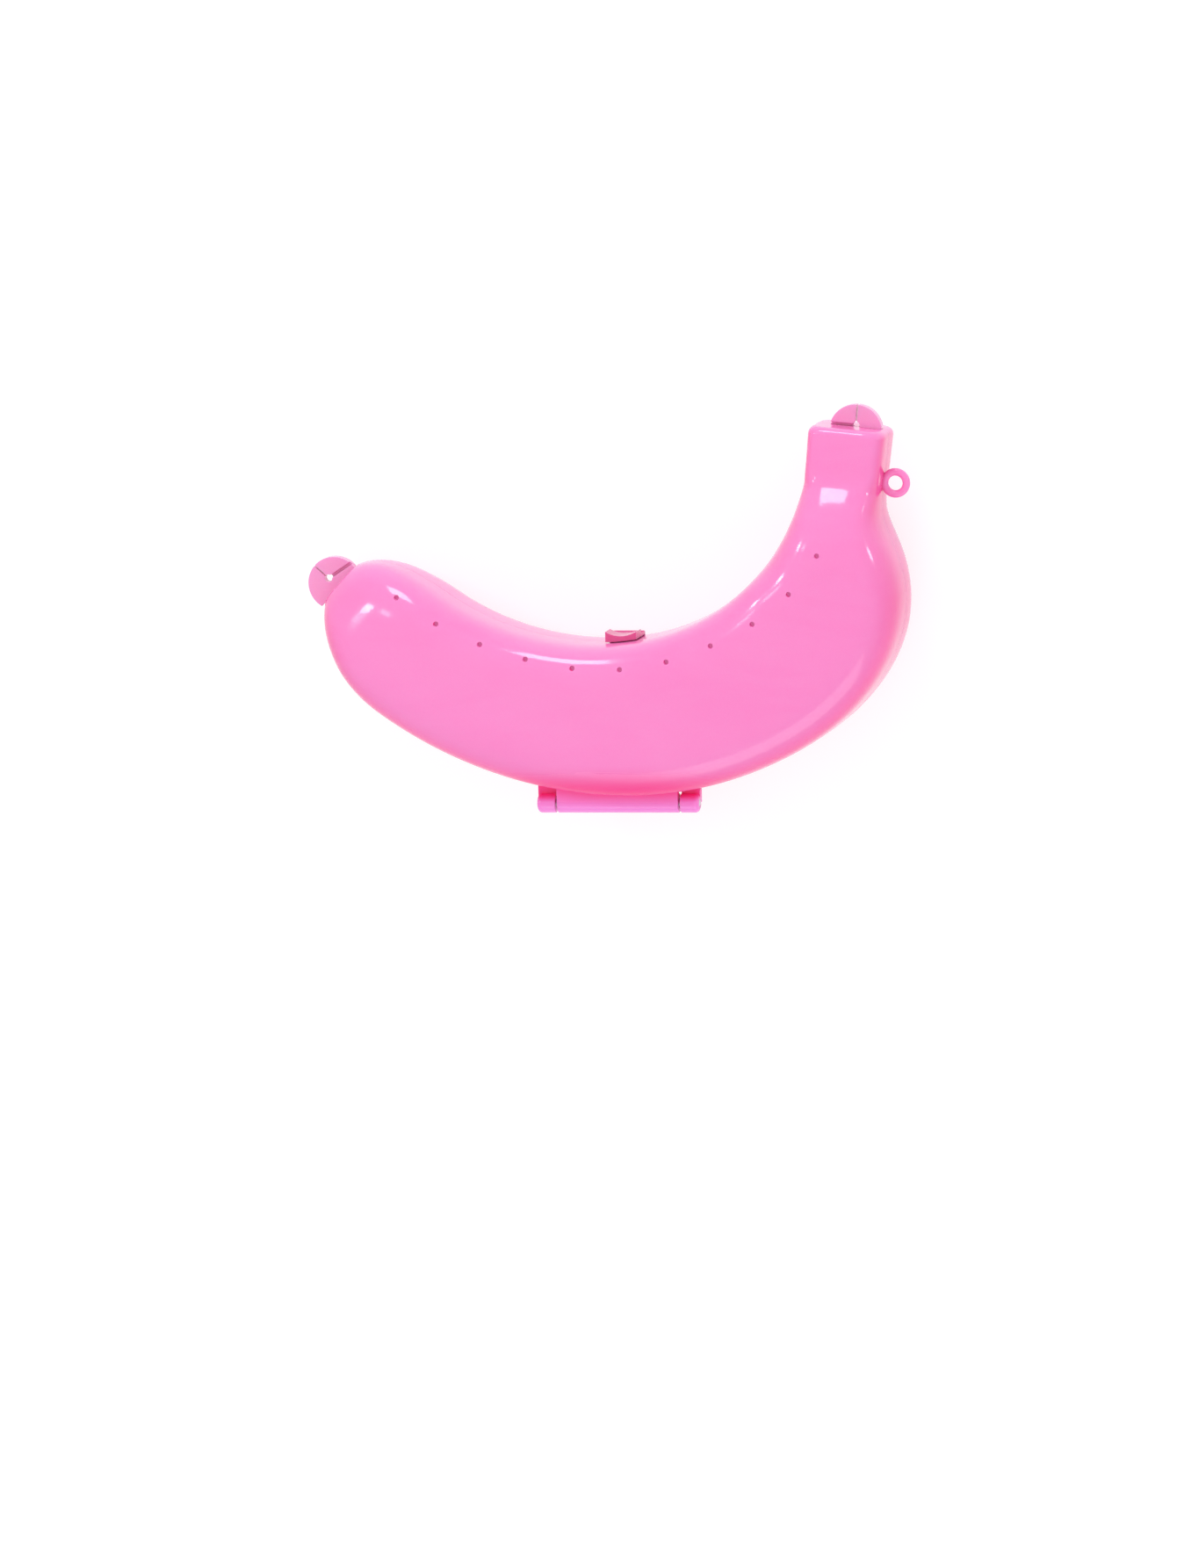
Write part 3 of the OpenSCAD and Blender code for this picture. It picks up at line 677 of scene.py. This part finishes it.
def mark_skin(bm):
    """Marks the points near the rim, and on the outside how much painted shade deepens the pink on the sides
    and beside the hinge.
    """
    rim = bm.verts.layers.float.new("rim")
    side = bm.verts.layers.float.new("side")
    under = bm.verts.layers.float.new("hinge")
    hinge_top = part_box("hinge_barrel")[1].y / MM
    bm.normal_update()
    for v in bm.verts:
        x, y, z = v.co / MM
        v[rim] = clamped(1 - abs(z - BELLY.z) / RUBBED_HEIGHT)
        if all(f.material_index for f in v.link_faces):
            continue
        # Painted shade: how much the pink deepens on the sides
        v[side] = side_shade_share(v.normal)
        # Painted shade: the pink deepens on the case beside the hinge, fading along it and upwards
        along = ease((HINGE_SHADE_ALONG - abs(x - HINGE.x)) / HINGE_SHADE_FADE_ALONG)
        v[under] = along * ease(1 - (y - hinge_top) / HINGE_SHADE_FADE_UP)


# The row of vents, evenly spaced along a line beside the centre line

VENT_COUNT = 11
VENT_R = 0.75
VENT_MOUTH_R = 0.9
VENT_MOUTH_FROM = -0.5
VENT_MOUTH_TO = 0.15
VENT_DRILL_FROM = -6
VENT_DRILL_TO = 3
VENT_SIDES = 28
VENT_FROM = -84.5
VENT_TO = 100
VENT_LINE = 17.5
VENT_LINE_STEPS = 60
VENT_STEM_AT = 21
VENT_TIP_AT = 19
VENT_TURN = 0.78
VENT_TIP_TURN = 0.2


def vent_side(s):
    to_stem = clamped((s - VENT_STEM_AT) / (VENT_TO - VENT_STEM_AT))
    to_tip = clamped((-s - VENT_TIP_AT) / (-VENT_FROM - VENT_TIP_AT))
    return VENT_LINE * (1 - VENT_TURN * to_stem ** 3 - VENT_TIP_TURN * to_tip ** 2)


def vent_places():
    places = steps(VENT_FROM, VENT_TO, VENT_LINE_STEPS)
    spots = [beside(s, vent_side(s), 0) for s in places]
    run = [0.0]
    for a, b in zip(spots, spots[1:]):
        run.append(run[-1] + (b - a).length)
    found = []
    for want in steps(0, run[-1], VENT_COUNT - 1):
        i = min(sum(r < want for r in run[1:]), len(run) - 2)
        share = (want - run[i]) / (run[i + 1] - run[i])
        found.append(places[i] + (places[i + 1] - places[i]) * share)
    return found


def skin_height(s, side):
    """Height of the front skin above the parting plane."""
    ring = tip_ring((TIP_BASE - s) / TIP_DOME) if s < TIP_BASE else body_ring(s)
    _, half_in, half_out, depth, square = ring
    half = half_in if side > 0 else half_out
    return depth * (1 - (abs(side) / half) ** square) ** (1 / square)


def vent_drills():
    """Round drills with a slightly wider mouth, one for each vent."""
    profile = [(0, VENT_DRILL_FROM), (VENT_R, VENT_DRILL_FROM), (VENT_R, VENT_MOUTH_FROM),
               (VENT_MOUTH_R, VENT_MOUTH_TO), (VENT_MOUTH_R, VENT_DRILL_TO), (0, VENT_DRILL_TO)]
    bm = bmesh.new()
    for s in vent_places():
        side = vent_side(s)
        mouth = beside(s, side, skin_height(s, side))
        line = [bm.verts.new(mouth + Vector((r, 0, z)) * MM) for r, z in profile]
        edges = [bm.edges.new(pair) for pair in zip(line, line[1:])]
        bmesh.ops.spin(bm, geom=line + edges, cent=mouth, axis=(0, 0, 1), angle=2 * math.pi, steps=VENT_SIDES,
                       use_merge=True, use_duplicate=False)
    merged(bm, WELD_METRES / 10)
    bmesh.ops.recalc_face_normals(bm, faces=bm.faces[:])
    return object_of("vent_drills", bm)


def drilled(bm):
    """The front half case with the vents cut through its wall."""
    case = object_of("undrilled", bm)
    drills = vent_drills()
    cut = case.modifiers.new("vents", "BOOLEAN")
    cut.operation = "DIFFERENCE"
    cut.solver = "EXACT"
    cut.object = drills
    bpy.context.view_layer.update()
    result = case.evaluated_get(bpy.context.evaluated_depsgraph_get()).to_mesh()
    bm = bmesh.new()
    bm.from_mesh(result)
    bpy.data.objects.remove(case)
    bpy.data.objects.remove(drills)
    return bm


finished_piece("front_case", drilled(half_case(1)), "front_half", ["front_shell", "front_stem_block"],
               [outside, inside])
finished_piece("back_case", half_case(-1), "back_half", ["back_shell", "back_stem_block"], [outside, inside])


# Locating lips inside the rim of the front half

LIP_H = 2.4
LIP_T = 1.3
LIP_ROOT = 2.2
LIP_ROOT_SLOPE = 0.5
LIP_GAP = 0.3
LIP_SEAT = 0.05
LIP_NOSE_H = 0.4
LIP_NOSE_W = 0.3


def lip(edge):
    """Strip along the wall of the front half that drops inside the back half."""
    nose = LIP_NOSE_H - LIP_H
    outline = [(LIP_SEAT, LIP_ROOT), (LIP_T, LIP_ROOT - LIP_ROOT_SLOPE), (LIP_T, nose),
               (LIP_T - LIP_NOSE_W, -LIP_H), (LIP_GAP + LIP_NOSE_W, -LIP_H), (LIP_GAP, nose),
               (LIP_GAP, 0), (LIP_SEAT, 0)]
    places = steps(TIP_BASE, RAMP_TOP, BODY_RINGS)
    half = inner_half if edge > 0 else outer_half
    bm = bmesh.new()
    grid = bmesh.ops.create_grid(bm, x_segments=len(places) - 1, y_segments=len(outline), size=1)
    for vert in grid["verts"]:
        s = places[round((vert.co.x + 1) / 2 * (len(places) - 1))]
        inset, up = outline[round((vert.co.y + 1) / 2 * len(outline)) % len(outline)]
        vert.co = beside(s, edge * (half(s) - WALL - inset), up)
    merged(bm)
    bmesh.ops.holes_fill(bm, edges=[e for e in bm.edges if e.is_boundary], sides=len(outline))
    bmesh.ops.recalc_face_normals(bm, faces=bm.faces[:])
    return bm


finished_piece("inner_lip", lip(1), "front_half", ["lip_inner"], [inside])
finished_piece("outer_lip", lip(-1), "front_half", ["lip_outer"], [inside])


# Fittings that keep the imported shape, with their edges rounded as a mould leaves them

FITTING_WELD_METRES = 2e-5
FLAT = math.radians(1)
SHARP = math.radians(35)
TAB_SOFT = 0.6


def rounded(node, radius, chosen=None):
    bm = bmesh.new()
    bm.from_mesh(frame["nodes"][node].data)
    merged(bm, FITTING_WELD_METRES)
    bmesh.ops.dissolve_limit(bm, angle_limit=FLAT, verts=bm.verts[:], edges=bm.edges[:])
    sharp = [e for e in bm.edges if e.is_manifold and e.calc_face_angle() > SHARP]
    if chosen:
        sharp = [e for e in sharp if chosen(e)]
    soft_edges(bm, sharp, radius)
    return bm


for end in ("tip", "stem"):
    for half in ("front", "back"):
        tab = f"{half}_{end}_tab"
        finished_piece(f"{end}_tab_{half}", rounded(tab, TAB_SOFT), f"{half}_half", [tab], [tab_pink])


# Hinge

TUBE_SOFT = 0.3
KNUCKLE_SOFT = 0.25
WIRE_SOFT = 0.25
GAP_REACH = 1.2
HINGE_SHADE_FROM = 0.8
HINGE_SHADE_RUN = 2.2


def beside_gap(edge):
    """Whether an edge goes round an end of a tube that faces the next tube."""
    first, last = (v.co.x for v in edge.verts)
    gap = min(abs(first - corner.x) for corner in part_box("hinge_barrel"))
    return abs(first - last) < WELD_METRES and gap < GAP_REACH * MM


def knuckle(node, radius):
    """A tube of the hinge, with a deeper pink painted as shade where it runs up to the case."""
    bm = rounded(node, radius, beside_gap)
    under = bm.verts.layers.float.new("hinge")
    for v in bm.verts:
        v[under] = ease((v.co.y / MM - HINGE.y - HINGE_SHADE_FROM) / HINGE_SHADE_RUN)
    return bm


finished_piece("hinge_tube", knuckle("hinge_barrel", TUBE_SOFT), "front_half", ["hinge_barrel"], [lightened_hinge_pink])
for end in ("tip", "stem"):
    ear = f"hinge_ear_{end}"
    finished_piece(f"hinge_knuckle_{end}", knuckle(ear, KNUCKLE_SOFT), "back_half", [ear], [lightened_hinge_pink])
finished_piece("hinge_wire", rounded("hinge_pin", WIRE_SOFT), "back_half", ["hinge_pin"], [steel])


# Lanyard ring on the side of the stem block

LOOP_R = 4.7
LOOP_HOLE_R = 2.3
LOOP_FULL = 2.3
LOOP_SECTION_SIDES = 24
LOOP_SIDES = 72


def lanyard_ring():
    """Ring of round wire section; its inner side runs into the wall of the stem block."""
    low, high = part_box("lanyard_loop")
    thick = (high.z - low.z) / MM
    middle_r = (LOOP_R + LOOP_HOLE_R) / 2
    axis = Vector((high.x - LOOP_R * MM, (low.y + high.y) / 2, (low.z + high.z) / 2))
    bm = bmesh.new()
    band = bmesh.ops.create_circle(bm, segments=LOOP_SECTION_SIDES, radius=1)
    for vert in band["verts"]:
        turn = math.atan2(vert.co.y, vert.co.x)
        reach = (abs(math.cos(turn)) ** LOOP_FULL + abs(math.sin(turn)) ** LOOP_FULL) ** (-1 / LOOP_FULL)
        out = middle_r + reach * math.cos(turn) * (LOOP_R - middle_r)
        vert.co = axis + Vector((out, 0, reach * math.sin(turn) * thick / 2)) * MM
    bmesh.ops.spin(bm, geom=bm.verts[:] + bm.edges[:], cent=axis, axis=(0, 0, 1), angle=2 * math.pi,
                   steps=LOOP_SIDES, use_merge=True, use_duplicate=False)
    merged(bm)
    bmesh.ops.recalc_face_normals(bm, faces=bm.faces[:])
    return bm


finished_piece("lanyard_ring", lanyard_ring(), "front_half", ["lanyard_loop"], [fittings])


# Snap tongue on the inner curve, its root on the back half and its bead on the front half

TONGUE_SOFT = 0.3
ROOT_SOFT = 0.2
BEAD_SOFT = 0.1

finished_piece("snap_tongue", rounded("latch_tongue", TONGUE_SOFT), "latch", ["latch_tongue"], [shaded_tongue_pink])
finished_piece("snap_root", rounded("latch_root", ROOT_SOFT), "back_half", ["latch_root"], [fittings])
finished_piece("snap_bead", rounded("catch_bead", BEAD_SOFT), "front_half", ["catch_bead"], [fittings])


# Floor, lights and world, with sizes in metres and the lamps' aims in millimetres of the frame

FLOOR_HALF = 12
FLOOR_GLOW = 0.7
FLOOR_SHADE = (0.4, 0.4, 0.4, 1)
FLOOR_BOUNCE = (0.9, 0.9, 0.9, 1)
WORLD_FILL = 0.74
LAMP_AWAY = 1.2


def lay_floor():
    """A white floor: most of its white does not depend on the lamps, and the rest takes the shadow."""
    bm = bmesh.new()
    bmesh.ops.create_grid(bm, x_segments=2, y_segments=2, size=FLOOR_HALF)
    floor = object_of("floor", bm)
    finish = Finish("pale_floor")
    finish.set(Base_Color=FLOOR_BOUNCE, Roughness=0.8, Specular_IOR_Level=0.0)
    bounced = Field(finish, finish.shader.outputs[0])
    glow = finish.node("ShaderNodeEmission", inputs={"Strength": FLOOR_GLOW})
    shaded = finish.node("ShaderNodeBsdfDiffuse", inputs={"Color": FLOOR_SHADE})
    seen = finish.node("ShaderNodeAddShader", inputs={0: glow, 1: shaded})
    choice = finish.node("ShaderNodeMixShader", inputs={0: finish.seen_rays(), 1: bounced, 2: seen})
    finish.fill(finish.tree.nodes["Material Output"].inputs["Surface"], choice)
    floor.data.materials.append(finish.material)


def light_world():
    """White where it is seen, and a plain even light on the object."""
    world = bpy.data.worlds.new("studio")
    scene.world = world
    shading = Shading(world)
    levels = {"Value": shading.seen_rays(), "To Min": WORLD_FILL, "To Max": 1.0}
    back = shading.tree.nodes["Background"]
    shading.fill(back.inputs["Color"], (1, 1, 1, 1))
    shading.fill(back.inputs["Strength"], shading.node("ShaderNodeMapRange", inputs=levels))


def softbox(name, aim, azimuth, elevation, size, radiance):
    """A soft lamp, seen from a point of the case at an azimuth from +Y towards +X."""
    turn = math.radians(azimuth)
    rise = math.radians(elevation)
    away = Vector((math.sin(turn) * math.cos(rise), math.cos(turn) * math.cos(rise), math.sin(rise)))
    data = bpy.data.lights.new(name, "AREA")
    data.shape = "RECTANGLE"
    data.size, data.size_y = size
    data.energy = radiance * math.pi * data.size * data.size_y
    lamp = bpy.data.objects.new(name, data)
    lamp.location = Vector(aim) * MM + away * LAMP_AWAY
    lamp.rotation_mode = "QUATERNION"
    lamp.rotation_quaternion = away.to_track_quat("Z", "Y")
    lamp.visible_camera = False
    scene.collection.objects.link(lamp)


lay_floor()
light_world()
softbox("top_box", aim=(0, 0, 40), azimuth=-8, elevation=24, size=(0.4, 0.36), radiance=9)
softbox("tip_box", aim=(-76, 3, 40), azimuth=-63, elevation=40.3, size=(0.11, 0.16), radiance=18)
softbox("neck_box", aim=(69, 23, 43), azimuth=-66, elevation=50, size=(0.09, 0.13), radiance=6)
softbox("low_box", aim=(20, -40, 20), azimuth=165, elevation=42, size=(1.2, 0.6), radiance=1.45)
softbox("shoulder_box", aim=(87, 22, 40), azimuth=72, elevation=13, size=(0.16, 0.2), radiance=12)
